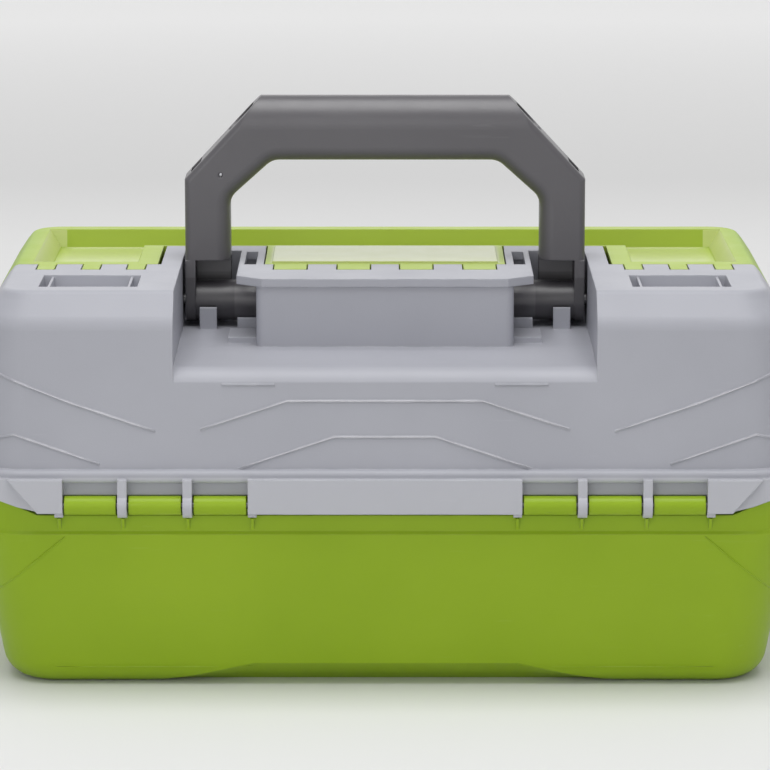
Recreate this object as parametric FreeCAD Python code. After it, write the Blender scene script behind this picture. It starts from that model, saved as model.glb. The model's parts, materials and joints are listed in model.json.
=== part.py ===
import FreeCAD, Part
import math
import os
from FreeCAD import Vector

# Portable tackle box with two lid leaves that open outwards, one tray under each leaf,
# and a folding carry handle. Millimetres. X runs along the box, Y across it and Z up.
# The origin is the middle of the bottom face. The handled leaf is on the -Y side.

# Driving sizes of the whole box
lid_half_x = 203.4
lid_half_y = 122.3
tub_height = 98.4
lid_height = 100.4
wall = 2.6
seam_gap = 0.5
part_gap = 0.4
overrun = 40.0

# Lid outline: half length, half width and plan corner radius at four heights
lid_corner = 25.0
shoulder_in_x = 5.2
shoulder_in_y = 10.3
shoulder_drop = 14.0
shoulder_corner = 22.0
shoulder_round = 12.0
brow_in_x = 11.8
brow_in_y = 18.9
brow_drop = 4.0
brow_corner = 18.0
top_in_x = 15.2
top_in_y = 22.3
top_corner = 14.0
top_round = 4.0
lid_foot_z = tub_height + part_gap
box_height = lid_foot_z + lid_height
lid_shoulder_z = box_height - shoulder_drop
lid_brow_z = box_height - brow_drop
lid_foot = (lid_half_x, lid_half_y, lid_corner)
lid_shoulder = (lid_half_x - shoulder_in_x, lid_half_y - shoulder_in_y, shoulder_corner)
lid_brow = (lid_half_x - brow_in_x, lid_half_y - brow_in_y, brow_corner)
lid_top = (lid_half_x - top_in_x, lid_half_y - top_in_y, top_corner)
inner_drop_shares = (0, 0.4, 0.75, 1)

# Rounded lip that runs round the foot of both leaves
lip_rise = 8.8
lip_height = 6.3
lip_proud = 2.6
lip_round = 2.4
lip_low_z = lid_foot_z + lip_rise
lip_high_z = lip_low_z + lip_height

# Tub outline
tub_floor_in_x = 12.9
tub_floor_in_y = 17.3
tub_floor_corner = 28.0
tub_step_in_x = 0.4
tub_step_in_y = 1.3
tub_step_corner = 25.0
tub_foot_round = 15.0
tub_liner_round = 12.4
band_height = 17.3
band_inset = 1.2
band_flare = 0.6
band_slope = 1.6
band_thick = 5.4
band_blend = 4.7
upstand_thick = 2.2
upstand_rise = 4.0
rim_notch_in = 32.0
rim_notch_slope = 17.0
rim_notch_depth = 7.7
toe_half = 66.0
toe_slope = 60.0
toe_height = 8.8
toe_depth = 14.0
tub_floor = (lid_half_x - tub_floor_in_x, lid_half_y - tub_floor_in_y, tub_floor_corner)
tub_step = (lid_half_x - tub_step_in_x, lid_half_y - tub_step_in_y, tub_step_corner)
tub_step_z = tub_height - band_height
upstand_top_z = tub_height + upstand_rise
rim_notch_half = tub_step[0] - rim_notch_in

# Hinge along each long side
hinge_proud = 1.7
hinge_drop = 1.7
barrel_radius = 4.6
barrel_reach = 3.0
barrel_root_drop = 4.2
barrel_gap = 0.8
rod_radius = 1.5
pin_play = 0.05
rod_into_plate = 7.6
rod_into_block = 7.6
plate_half = 67.2
field_in = 45.5
fin_thick = 4.6
fin_shares = (0.326, 0.678)
fin_radius = 6.3
fin_reach = 4.4
bay_top_rise = 3.9
bay_clear = 0.5
plate_drop = 3.9
plate_reach = 4.0
plate_back = 2.8
tab_drop = 5.9
tab_width = 4.2
tab_reach = 1.5
tab_back = 1.0
gusset_thick = 1.6
gusset_top_drop = 7.0
gusset_drop = 7.3
gusset_reach = 4.2
hinge_y = lid_half_y + hinge_proud
hinge_z = tub_height - hinge_drop
field_outer = lid_half_x - field_in
rod_inner_end = plate_half - rod_into_plate
rod_outer_end = field_outer + rod_into_block
barrel_root_z = hinge_z - barrel_root_drop
bay_top_z = hinge_z + bay_top_rise
gusset_top_z = hinge_z - gusset_top_drop

# End block of the hinge on each leaf
block_reach = 4.6
block_drop = 3.4
block_foot = 12.4
block_top = 27.0
skirt_reach = 0.9
skirt_mid = 22.5
skirt_mid_drop = 0.9
skirt_end = 31.6

# Folding handle: it stands on its two hubs in the well, its grip above them
handle_half = 102.4
handle_near = 11.0
handle_far = 15.0
handle_reach = 106.0
grip_high = 32.5
outer_bevel_wide = 39.0
outer_bevel_high = 42.0
inner_bevel_wide = 21.8
inner_bevel_high = 19.5
arm_wide = 23.0
handle_round = 3.0
handle_inner_round = 7.0
handle_corner_round = 10.0
grip_crown = 16.2
grip_core_foot = 14.0
grip_core_wall = 4.4
grip_core_round = 6.0
arm_core_in = 2.9
arm_core_wide = 5.4
arm_core_rise = 7.0
far_web_thick = 7.0
far_web_drop = 3.5
cheek_thick = 5.2
hub_radius = 10.4
hub_gap = 1.1
axle_radius = 3.0
axle_into_core = 2.5
axle_head_radius = 4.6
axle_head_thick = 1.8
gate_mark_in = 4.7
gate_mark_drop = 7.3
gate_mark_radius = 1.9
gate_mark_depth = 0.7

# Well for the folded handle, with a hollow core between the hubs
well_depth = 34.8
well_side_gap = 1.5
well_back_gap = 7.5
well_lip_drops = (1.8, 3.6, 9.4)
well_lip_ins = (18.3, 10.7, 6.3)
hub_room = 14.8
core_face_y = -65.4
core_round = 4.0
flange_wide = 10.0
flange_in = 8.4
brow_proud = 1.1
brow_corner_in = 13.0
flange_thick = 4.2
flange_hole_start = 1.2
flange_hole_wide = 6.0
flange_hole_near = 20.0
flange_hole_far = 19.0
ledge_wide = 14.4
ledge_in = 10.8
ledge_deep = 24.6
ledge_thick = 3.0
guard_wide = 10.8
guard_gap = 3.0
guard_thick = 3.0
guard_rise = 7.6
stop_tab_in = 6.9
stop_tab_width = 8.8
stop_tab_gap = 0.8
stop_tab_thick = 2.4
stop_tab_rise = 11.2
pivot_y = -3.0
pivot_rise = 13.0
well_floor_z = box_height - well_depth
well_half = handle_half + well_side_gap
well_end_y = pivot_y + handle_far + well_back_gap
pivot_z = well_floor_z + pivot_rise
arm_inner = handle_half - arm_wide
core_half = arm_inner - hub_room
handle_top_z = pivot_z + handle_reach
handle_grip_z = handle_top_z - grip_high
arm_web_end_z = box_height + part_gap
hub_inner = core_half + hub_gap
axle_inner_end = core_half - axle_into_core
axle_outer_end = well_half + wall + part_gap / 2 + axle_head_thick

# Seam between the leaves, a little on the handle's side of the middle
seam_y = -22.5
tip_reach = 15.5
tip_thick = 2.6
tip_side_gap = 0.7
horn_inner_in = 2.4
horn_outer_out = 10.3
horn_end_out = 14.5
horn_inner_gap = 0.9
horn_outer_gap = 1.8
horn_end_gap = 0.8
horn_inner = core_half - horn_inner_in
horn_outer = well_half + horn_outer_out
horn_end_y = well_end_y + horn_end_out

# Finger tips over the seam, as shares of the room between the horns and beside them
centre_tip_shares = ((0.124, 0.387), (0.641, 0.905))
side_tip_shares = ((0, 0.16), (0.42, 0.58), (0.84, 1))
side_tip_start_gap = 7.8
side_tip_end_gap = 11.7

# Shallow tool pockets in the handled leaf's top
pocket_inner_gap = 19.3
pocket_end_in = 17.7
pocket_near_in = 12.0
pocket_back_gap = 18.0
pocket_depth = 6.0
pocket_draft = 0.8
pocket_rib_inset = 3.8
pocket_rib_thick = 1.2
pocket_rib_drop = 1.0
pocket_inner = well_half + pocket_inner_gap
pocket_outer = lid_top[0] - pocket_end_in
pocket_near_y = -lid_top[1] + pocket_near_in
pocket_far_y = seam_y - tip_reach - pocket_back_gap

# Sunk trough in the plain leaf's top, with a wide bay at each end and a label pad in front
trough_end_in = 14.0
trough_horn_gap = 3.5
trough_far_in = 12.0
trough_depth = 10.0
trough_draft = 1.2
trough_ramp = 6.0
bay_horn_gap = 16.0
bay_inner_ramp = 4.0
bay_seam_gap = 9.0
pad_horn_gap = 3.5
pad_seam_gap = 4.0
pad_trough_gap = 6.5
pad_proud = 0.8
pad_round = 0.6
trough_half = lid_top[0] - trough_end_in
trough_near_y = horn_end_y + trough_horn_gap
trough_far_y = lid_top[1] - trough_far_in
bay_inner = horn_outer + bay_horn_gap
bay_near_y = seam_y + bay_seam_gap
pad_half = horn_inner - horn_inner_gap - pad_horn_gap
pad_near_y = seam_y + pad_seam_gap
pad_far_y = trough_near_y - pad_trough_gap

# Raised styling lines on the long walls, as shares of their span and of the wall's height
line_end_in = 15.4
line_width = 1.0
line_proud = 0.5
wave_line_shares = ((0, 0.468), (0.255, 0.468), (0.481, 0.275))
end_line_shares = ((0.6, 0.262), (0.82, 0.455), (1.08, 0.72))
inner_line_shares = ((0, 0.222), (0.133, 0.222), (0.386, 0.0))
outer_line_shares = ((1.08, 0.17), (0.968, 0.237), (0.745, 0.036))
short_line_shares = ((0.287, 0.582), (0.426, 0.582))

# Trays and their parallel links. The leaf itself is one link: it turns about the hinge and
# carries the tray at leaf_pin. Each arm turns on the tub at arm_root and holds the tray at arm_tip.
leaf_pin_in = 40.3
leaf_pin_rise = 21.0
link_shift_y = 46.0
link_shift_z = -8.0
link_pin_radius = 2.4
link_head_radius = 4.2
link_head_thick = 1.4
lug_radius = 6.0
arm_width = 12.0
arm_thick = 2.6
arm_end_in = 13.4
tray_link_gap = 2.4
tray_outer_in = 10.3
tray_inner_y = 3.0
tray_pin_rise = 13.3
tray_depth = 31.6
tray_wall = 2.0
tray_corner = 7.0
tray_foot_round = 3.0
tray_rim_wide = 1.4
tray_rim_high = 2.2
divider_count = 5
divider_thick = 1.6
divider_play = 0.3
divider_top_gap = 4.0
guide_reach = 2.0
guide_thick = 1.2
leaf_pin_y = lid_half_y - leaf_pin_in
leaf_pin_z = hinge_z + leaf_pin_rise
arm_face_x = lid_half_x - arm_end_in
tray_half = arm_face_x - tray_link_gap
tray_outer_y = lid_half_y - tray_outer_in
tray_low_z = leaf_pin_z - tray_pin_rise
tray_high_z = tray_low_z + tray_depth

# Latches over the seam at both ends
pad_out = 1.8
pad_sunk = 7.4
pad_lip_gap = 4.5
pad_high = 38.0
pad_reach = 24.0
pad_knuckle_reach = 36.0
latch_margin = 4.5
latch_play = 1.5
latch_thick = 3.4
latch_axis_reach = 28.0
latch_nose_reach = 21.0
latch_flare = 5.0
latch_flare_out = 2.6
knuckle_radius = 2.9
knuckle_end = 5.6
knuckle_clear = 6.4
latch_lug_end = 4.6
latch_pin_radius = 1.4
catch_reach = 12.0
catch_wide = 3.4
catch_proud = 0.9
hook_gap = 0.3
hook_wide = 2.6
hook_gap_y = 0.5
pad_face_x = lid_half_x + pad_out
pad_low_z = lip_high_z + pad_lip_gap
pad_high_z = pad_low_z + pad_high
latch_low_z = pad_low_z + latch_margin
latch_high_z = pad_high_z - latch_margin

os.makedirs("parts", exist_ok=True)


def save(name, shape):
    shape.exportStep("parts/" + name + ".step")


def block(x_low, x_high, y_low, y_high, z_low, z_high):
    """A box between two corners."""
    return Part.makeBox(x_high - x_low, y_high - y_low, z_high - z_low, Vector(x_low, y_low, z_low))


def x_bar(radius, x_low, x_high, y, z):
    """A round bar along X."""
    return Part.makeCylinder(radius, x_high - x_low, Vector(x_low, y, z), Vector(1, 0, 0))


def z_bar(radius, x, y, z_low, z_high):
    """A round bar along Z."""
    return Part.makeCylinder(radius, z_high - z_low, Vector(x, y, z_low))


def flat_xz(points, y_low, y_high):
    """A prism along Y of an outline given in X and Z."""
    corners = [Vector(x, y_low, z) for x, z in points]
    face = Part.Face(Part.makePolygon(corners + corners[:1]))
    return face.extrude(Vector(0, y_high - y_low, 0))


def flat_yz(points, x_low, x_high):
    """A prism along X of an outline given in Y and Z."""
    corners = [Vector(x_low, y, z) for y, z in points]
    face = Part.Face(Part.makePolygon(corners + corners[:1]))
    return face.extrude(Vector(x_high - x_low, 0, 0))


def ring(half_x, half_y, corner, z):
    """A rectangle with round corners, as a closed wire at height z."""
    edges = []
    turns = ((1, 1), (-1, 1), (-1, -1), (1, -1))
    for step, (sx, sy) in enumerate(turns):
        centre = Vector(sx * (half_x - corner), sy * (half_y - corner), z)
        start = math.radians(90 * step)
        points = []
        for part in (0, 0.5, 1):
            angle = start + part * math.pi / 2
            points.append(centre + Vector(corner * math.cos(angle), corner * math.sin(angle), 0))
        edges.append(Part.Arc(*points).toShape())
    closed = []
    for step, arc in enumerate(edges):
        following = edges[(step + 1) % len(edges)]
        closed.append(arc)
        closed.append(Part.makeLine(arc.Vertexes[-1].Point, following.Vertexes[0].Point))
    return Part.Wire(closed)


def tower(levels):
    """A straight-sided solid through rings given as (half x, half y, corner, z)."""
    return Part.makeLoft([ring(*level) for level in levels], True, True)


def grown(level, amount, z):
    """A ring level with its outline moved out by amount, at height z."""
    half_x, half_y, corner = level[:3]
    return (half_x + amount, half_y + amount, max(corner + amount, abs(amount)), z)


def tapered_pit(x_low, x_high, y_low, y_high, floor_z, draft_low, draft_high, draft_y):
    """A pit open above the top face, with sloping ends and lightly drafted sides."""
    depth = box_height - floor_z
    lift = overrun / depth
    low = Vector(x_low, y_low, floor_z)
    high = Vector(x_high, y_high, floor_z)
    wires = []
    for share in (0, lift):
        left = low.x - draft_low * share
        right = high.x + draft_high * share
        near = low.y - draft_y * share
        far = high.y + draft_y * share
        level = floor_z + depth * share
        corners = [Vector(left, near, level), Vector(right, near, level)]
        corners += [Vector(right, far, level), Vector(left, far, level)]
        wires.append(Part.makePolygon(corners + corners[:1]))
    return Part.makeLoft(wires, True, True)


def mirror_x(shape):
    return shape.mirror(Vector(0, 0, 0), Vector(1, 0, 0))


def mirror_y(shape):
    return shape.mirror(Vector(0, 0, 0), Vector(0, 1, 0))


def pair(shape):
    """A piece on the +X side together with its twin on the -X side, as a list."""
    return [shape, mirror_x(shape)]


def merge(shapes):
    """One clean solid from pieces that meet."""
    return shapes[0].multiFuse(shapes[1:]).removeSplitter()


def group(shapes):
    """Separate solids that share one node."""
    return Part.makeCompound(shapes)


def fin_centres():
    """Middles of the hinge fins between the barrels, on the +X side."""
    return [plate_half + share * (field_outer - plate_half) for share in fin_shares]


def barrel_spans():
    """Start and end of each hinge barrel, on the +X side."""
    spans = []
    start = plate_half
    for centre in fin_centres():
        spans.append((start + barrel_gap, centre - fin_thick / 2 - barrel_gap))
        start = centre + fin_thick / 2
    spans.append((start + barrel_gap, field_outer - barrel_gap))
    return spans


# The tub

def tub_side(sign):
    """Hinge barrels and gussets of one long side: sign is -1 for the handle's side."""
    axis_y = sign * hinge_y
    added = []
    for low, high in barrel_spans():
        barrel = x_bar(barrel_radius, low, high, axis_y, hinge_z)
        inner_y = sign * (tub_step[1] - band_inset - band_thick + upstand_thick / 2)
        outer_y = sign * (hinge_y + barrel_reach)
        root = block(low, high, min(inner_y, outer_y), max(inner_y, outer_y), barrel_root_z, hinge_z)
        added += pair(barrel.fuse(root))
    wall_y = sign * (tub_step[1] - band_inset - band_flare)
    tip_y = wall_y + sign * gusset_reach
    profile = ((wall_y, gusset_top_z), (tip_y, gusset_top_z), (wall_y, gusset_top_z - gusset_drop))
    for centre in fin_centres() + [plate_half - tab_width / 2, field_outer + tab_width / 2]:
        added += pair(flat_yz(profile, centre - gusset_thick / 2, centre + gusset_thick / 2))
    return added


def tub_rim_notches():
    """Room over the low rim of both long sides, outside the upstand."""
    points = []
    for sign in (-1, 1):
        run = sign * rim_notch_half
        points.append((run, tub_height - rim_notch_depth))
        points.append((run + sign * rim_notch_slope, tub_height))
        points.append((run + sign * rim_notch_slope, tub_height + overrun))
    outline = [points[0], points[3], points[4], points[5], points[2], points[1]]
    near_y = tub_step[1] - band_inset - band_thick + upstand_thick
    notch = flat_xz(outline, near_y, near_y + overrun)
    return notch.fuse(mirror_y(notch))


def toe_cut(inset):
    """Deeper bevel in the middle of a long bottom edge; inset moves it inwards for the liner."""
    low_y = tub_floor[1] + overrun / 8
    points = ((low_y, -overrun), (tub_floor[1] - toe_depth - inset, -overrun))
    points += ((tub_floor[1] - toe_depth - inset, inset), (low_y, toe_height + inset + overrun / 8))
    profile = [Vector(0, y, z) for y, z in points]
    start_x = toe_half + inset
    finish_x = start_x + toe_slope
    middle = flat_yz([(p.y, p.z) for p in profile], -start_x, start_x)
    ends = []
    for sign in (-1, 1):
        start = [Vector(sign * start_x, p.y, p.z) for p in profile]
        finish = [Vector(sign * finish_x, p.y, min(p.z, inset)) for p in profile]
        loops = [Part.makePolygon(loop + loop[:1]) for loop in (start, finish)]
        ends.append(Part.makeLoft(loops, True, True))
    return middle.multiFuse(ends)


def make_tub():
    step_inner = tub_step[1] - band_inset - band_thick
    lower = tower([tub_floor + (0,), tub_step + (tub_step_z,)])
    foot = [edge for edge in lower.Edges if edge.BoundBox.ZMax < tub_floor[2] / 2]
    lower = lower.makeFillet(tub_foot_round, foot)
    band = tower([grown(tub_step, 0, tub_step_z), grown(tub_step, -band_inset, tub_step_z + band_slope),
                  grown(tub_step, -band_inset + band_flare, tub_height)])
    upstand_level = grown(tub_step, -band_inset - band_thick + upstand_thick, 0)
    upstand = tower([grown(upstand_level, 0, tub_step_z), grown(upstand_level, 0, upstand_top_z)])
    shell = merge([lower, band]).cut(tub_rim_notches()).fuse(upstand)
    share = wall / tub_step_z
    low = [a + (b - a) * share - wall for a, b in zip(tub_floor, tub_step)]
    liner = tower([tuple(low) + (wall,), grown(tub_step, -wall, tub_step_z - band_blend)])
    base_edges = [edge for edge in liner.Edges if edge.BoundBox.ZMax < 2 * wall]
    liner = liner.makeFillet(tub_liner_round, base_edges)
    neck_level = grown(tub_step, -band_inset - band_thick, 0)
    blend = tower([grown(tub_step, -wall, tub_step_z - band_blend), grown(neck_level, 0, tub_step_z)])
    neck = tower([grown(neck_level, 0, tub_step_z), grown(neck_level, 0, upstand_top_z + overrun)])
    room = liner.multiFuse([blend, neck])
    bevels = [toe_cut(0), mirror_y(toe_cut(0))]
    liner_bevels = [toe_cut(wall), mirror_y(toe_cut(wall))]
    shell = shell.cut(group(bevels)).cut(room.cut(group(liner_bevels)))
    added = tub_side(-1) + tub_side(1)
    bosses = []
    for sign in (-1, 1):
        root_y, root_z = arm_root(sign)
        boss_x = arm_face_x + arm_thick + part_gap
        wall_x = tub_step[0] - band_inset - band_thick + upstand_thick / 2
        bosses += pair(x_bar(lug_radius, boss_x, wall_x, root_y, root_z))
    shell = merge([shell] + added + bosses)
    holes = []
    for sign in (-1, 1):
        holes += pair(x_bar(rod_radius + pin_play, rod_inner_end, rod_outer_end, sign * hinge_y, hinge_z))
        root_y, root_z = arm_root(sign)
        end_x = arm_pin_end()
        holes += pair(x_bar(link_pin_radius + pin_play, arm_face_x, end_x, root_y, root_z))
    return shell.cut(group(holes))


# Link points: sign is -1 for the handled leaf's side and 1 for the other

def leaf_pin(sign):
    return sign * leaf_pin_y, leaf_pin_z


def arm_root(sign):
    return sign * (hinge_y - link_shift_y), hinge_z + link_shift_z


def arm_tip(sign):
    return sign * (leaf_pin_y - link_shift_y), leaf_pin_z + link_shift_z


def arm_pin_end():
    """How far out the arm's pin goes into the boss on the tub's end wall."""
    return tub_step[0] - band_inset - band_thick + part_gap


# The two leaves

def lid_outer():
    levels = [lid_foot + (lid_foot_z,), lid_shoulder + (lid_shoulder_z,)]
    levels += [lid_brow + (lid_brow_z,), lid_top + (box_height,)]
    body = tower(levels)
    for height, radius in ((lid_shoulder_z, shoulder_round), (box_height, top_round)):
        edges = []
        for edge in body.Edges:
            if edge.BoundBox.ZLength < part_gap and abs(edge.BoundBox.ZMin - height) < part_gap:
                edges.append(edge)
        body = body.makeFillet(radius, edges)
    lip = tower([grown(lid_foot, lip_proud, lip_low_z), grown(lid_foot, lip_proud, lip_high_z)])
    rims = [edge for edge in lip.Edges if edge.BoundBox.ZLength < part_gap]
    return merge([body, lip.makeFillet(lip_round, rims)])


def lid_lined(extra):
    """The lid's outer form moved in by the wall, or out again by extra."""
    heights = (lid_foot_z - overrun, lid_shoulder_z, lid_brow_z, box_height)
    outlines = (lid_foot, lid_shoulder, lid_brow, lid_top)
    levels = []
    for level, height, drop in zip(outlines, heights, inner_drop_shares):
        levels.append(grown(level, extra, height + extra * drop))
    levels.insert(1, grown(lid_foot, extra, lid_foot_z))
    return tower(levels)


def styling_lines(sign):
    """Raised lines on one long wall, still joined to a slab behind the wall's face."""
    skin = lid_lined(line_proud)
    prisms = []
    inner_shares = (wave_line_shares, inner_line_shares, short_line_shares)
    for shares in inner_shares + (end_line_shares, outer_line_shares):
        upper = []
        lower = []
        for share_x, share_z in shares:
            x = share_x * (lid_half_x - line_end_in)
            z = lip_high_z + share_z * (lid_shoulder_z - lip_high_z)
            upper.append((x, z + line_width / 2))
            lower.append((x, z - line_width / 2))
        near = -lid_foot[1] - overrun
        prisms += pair(flat_xz(upper + lower[::-1], near, near + 2 * overrun))
    lines = merge(prisms).common(skin)
    return lines if sign < 0 else mirror_y(lines)


def leaf_region(sign):
    """All of the space that belongs to one leaf in plan, from below the box to above it."""
    low_z = lid_foot_z - overrun
    high_z = box_height + overrun
    reach = lid_foot[0] + overrun
    edge_y = seam_y + sign * seam_gap / 2
    far_y = sign * (lid_foot[1] + overrun)
    room = block(-reach, reach, min(edge_y, far_y), max(edge_y, far_y), low_z, high_z)
    if sign < 0:
        horns = pair(block(horn_inner, horn_outer, seam_y - overrun / 4, horn_end_y, low_z, high_z))
        tips = tip_boxes(tip_side_gap, low_z)
        return room.multiFuse(horns).cut(group(tips))
    notch = block(horn_inner - horn_inner_gap, horn_outer + horn_outer_gap, seam_y - overrun,
                  horn_end_y + horn_end_gap, low_z, high_z)
    return room.cut(group(pair(notch)))


def tip_boxes(side_gap, low_z):
    """The plain leaf's finger tips over the seam; side_gap widens them for the notches."""
    rows = ((centre_tip_shares, 0, horn_inner),
            (side_tip_shares, horn_outer + side_tip_start_gap, lid_top[0] - side_tip_end_gap))
    tips = []
    for shares, start, end in rows:
        for low_share, high_share in shares:
            low = start + low_share * (end - start) - side_gap
            high = start + high_share * (end - start) + side_gap
            tips += pair(block(low, high, seam_y - tip_reach - side_gap,
                               seam_y + tip_reach / 4, low_z, box_height + overrun * (side_gap > 0)))
    return tips


def hinge_side(sign):
    """Fins, centre plate and end blocks that hang from one leaf's lip round its hinge rods."""
    axis_y = sign * hinge_y
    top_z = lip_low_z + lip_round
    inner_y = sign * (lid_foot[1] - wall)

    def slab(x_low, x_high, reach, z_low, back_y=inner_y):
        outer_y = sign * (hinge_y + reach)
        return block(x_low, x_high, min(back_y, outer_y), max(back_y, outer_y), z_low, top_z)

    added = [slab(-plate_half, plate_half, plate_reach, hinge_z)]
    lower_back = sign * (hinge_y - plate_back)
    added.append(slab(-plate_half, plate_half, plate_reach, hinge_z - plate_drop, lower_back))
    tab_back_y = sign * (hinge_y - tab_back)
    for start in (plate_half - tab_width, field_outer):
        added += pair(slab(start, start + tab_width, tab_reach, hinge_z - tab_drop, tab_back_y))
    for centre in fin_centres():
        low = centre - fin_thick / 2
        high = centre + fin_thick / 2
        disc = x_bar(fin_radius, low, high, axis_y, hinge_z)
        added += pair(disc.fuse(slab(low, high, fin_reach, hinge_z)))
    start = field_outer
    block_low_z = hinge_z - block_drop
    outline = ((start, top_z), (start, block_low_z),
               (start + block_foot, block_low_z), (start + block_top, top_z))
    near = sign * (hinge_y + block_reach)
    back = sign * (hinge_y - plate_back)
    added += pair(flat_xz(outline, min(near, back), max(near, back)))
    skirt = ((start, top_z), (start, block_low_z), (start + block_foot, block_low_z),
             (start + skirt_mid, hinge_z - skirt_mid_drop), (start + skirt_end, lid_foot_z + part_gap),
             (start + skirt_end, top_z))
    near = sign * (hinge_y + skirt_reach)
    added += pair(flat_xz(skirt, min(near, back), max(near, back)))
    link = slab(start, start + skirt_end, 0, bay_top_z)
    return added + pair(link)


def hinge_bay(sign):
    """Room for the barrels under the lip of one leaf."""
    inner_y = sign * (lid_foot[1] - overrun)
    outer_y = sign * (lid_foot[1] + overrun)
    low_z = lid_foot_z - overrun
    room = block(-field_outer, field_outer, min(inner_y, outer_y), max(inner_y, outer_y), low_z, bay_top_z)
    return room.fuse(x_bar(barrel_radius + bay_clear, -field_outer, field_outer, sign * hinge_y, hinge_z))


def well_room(grow):
    """Handle well, open at the top and the near side; grow moves it out to its wall's far face."""
    top_z = box_height + overrun
    ys = [edge_in - lid_half_y for edge_in in well_lip_ins]
    zs = [well_floor_z - drop - grow for drop in well_lip_drops]
    start = (ys[0], zs[0])
    curve_mid = (ys[1] + grow / 2, zs[1])
    finish = (ys[2] + grow, zs[2])

    def place(point):
        return Vector(-well_half - grow, point[0], point[1])

    front = [place(finish), place((ys[2] - overrun, zs[2])),
             place((ys[2] - overrun, top_z)), place((well_end_y + grow, top_z)),
             place((well_end_y + grow, well_floor_z - grow)), place((core_face_y, well_floor_z - grow)),
             place(start)]
    edges = [Part.makeLine(a, b) for a, b in zip(front[:-1], front[1:])]
    edges.append(Part.Arc(place(start), place(curve_mid), place(finish)).toShape())
    room = Part.Face(Part.Wire(edges)).extrude(Vector(2 * (well_half + grow), 0, 0))
    core = block(-core_half + grow, core_half - grow, core_face_y + grow, well_end_y + overrun,
                 lid_foot_z, top_z + overrun)
    if grow == 0:
        upright = [edge for edge in core.Edges if edge.BoundBox.ZLength > overrun and edge.BoundBox.YMax < 0]
        core = core.makeFillet(core_round, upright)
    return room.cut(core)


def top_pocket(grow):
    """Tool pocket in the handled leaf's top on the +X side, or its wall when grown."""
    return tapered_pit(pocket_inner - grow, pocket_outer + grow, pocket_near_y - grow, pocket_far_y + grow,
                       box_height - pocket_depth - grow, pocket_draft, pocket_draft, pocket_draft)


def pocket_ribs():
    ribs = []
    floor_z = box_height - pocket_depth - wall / 2
    half = pocket_rib_thick / 2
    for centre in (pocket_inner + pocket_rib_inset, pocket_outer - pocket_rib_inset):
        ribs += pair(block(centre - half, centre + half, pocket_near_y - wall / 2,
                           pocket_far_y + wall / 2, floor_z, box_height - pocket_rib_drop))
    return ribs


def handle_supports():
    """Flanges, foot ledges, guards and stop tabs round the handle's hubs, on both sides."""
    brow_z = box_height - flange_thick
    inner_x = core_half - wall
    face_y = core_face_y + flange_in
    back_y = face_y + wall
    front_y = core_face_y - brow_proud
    end_x = core_half + flange_wide
    outline = ((0, back_y), (0, front_y), (end_x - brow_corner_in, front_y), (end_x, face_y), (end_x, back_y))
    corners = [Vector(x, y, brow_z) for x, y in outline]
    brow = Part.Face(Part.makePolygon(corners + corners[:1])).extrude(Vector(0, 0, flange_thick))
    flange = block(inner_x, core_half + flange_wide, face_y, well_end_y + wall / 2, brow_z, box_height)
    hole_x = core_half + flange_hole_start
    hole = block(hole_x, hole_x + flange_hole_wide, pivot_y - flange_hole_near, pivot_y + flange_hole_far,
                 box_height - overrun, box_height + overrun)
    root_z = well_floor_z - wall / 2
    ledge_near_y = core_face_y + ledge_in
    ledge_y = ledge_near_y + ledge_deep
    ledge = block(inner_x, core_half + ledge_wide, ledge_near_y, ledge_y, root_z, well_floor_z + ledge_thick)
    guard_y = ledge_y + guard_gap
    guard = block(inner_x, core_half + guard_wide, guard_y, guard_y + guard_thick,
                  root_z, well_floor_z + guard_rise)
    tab_x = arm_inner + stop_tab_in
    tab_y = pivot_y - handle_near - stop_tab_gap
    tab = block(tab_x, tab_x + stop_tab_width, tab_y - stop_tab_thick, tab_y,
                root_z, well_floor_z + stop_tab_rise)
    return pair(brow) + pair(flange.cut(hole)) + pair(ledge) + pair(guard) + pair(tab)


def link_lugs(sign):
    """Round lugs inside the leaf's end walls that carry the tray's pins."""
    pin_y, pin_z = leaf_pin(sign)
    return pair(x_bar(lug_radius, arm_face_x, lid_foot[0] - wall / 2, pin_y, pin_z))


def latch_pads(sign):
    """Flat pads on both end walls, beside the seam."""
    reach = pad_reach if sign < 0 else pad_knuckle_reach
    edge_y = seam_y + sign * seam_gap / 2
    far_y = seam_y + sign * reach
    root_x = lid_half_x - pad_sunk
    return pair(block(root_x, pad_face_x, min(edge_y, far_y), max(edge_y, far_y), pad_low_z, pad_high_z))


def leaf_holes(sign):
    holes = pair(x_bar(rod_radius + pin_play, rod_inner_end, rod_outer_end, sign * hinge_y, hinge_z))
    pin_y, pin_z = leaf_pin(sign)
    bore = link_pin_radius + pin_play
    return holes + pair(x_bar(bore, arm_face_x - part_gap, leaf_pin_end(), pin_y, pin_z))


def leaf_pin_end():
    """How far out the tray's pin goes into the lug on the leaf's end wall."""
    return lid_foot[0] - 2 * wall


def make_handled_leaf():
    outer = merge([lid_outer(), styling_lines(-1)])
    recess = [well_room(0)] + pair(top_pocket(0))
    walls = [well_room(wall)] + pair(top_pocket(wall))
    room = lid_lined(-wall).cut(group(walls))
    shell = outer.cut(group(recess)).cut(room)
    shell = shell.common(leaf_region(-1)).cut(hinge_bay(-1))
    pads = [pad.cut(lid_lined(-wall)) for pad in latch_pads(-1)]
    added = hinge_side(-1) + handle_supports() + pocket_ribs() + link_lugs(-1) + pads + catch_ridges()
    shell = merge([shell] + added)
    axle = pair(x_bar(axle_radius + pin_play, axle_inner_end, axle_outer_end, pivot_y, pivot_z))
    return shell.cut(group(leaf_holes(-1) + axle))


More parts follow.
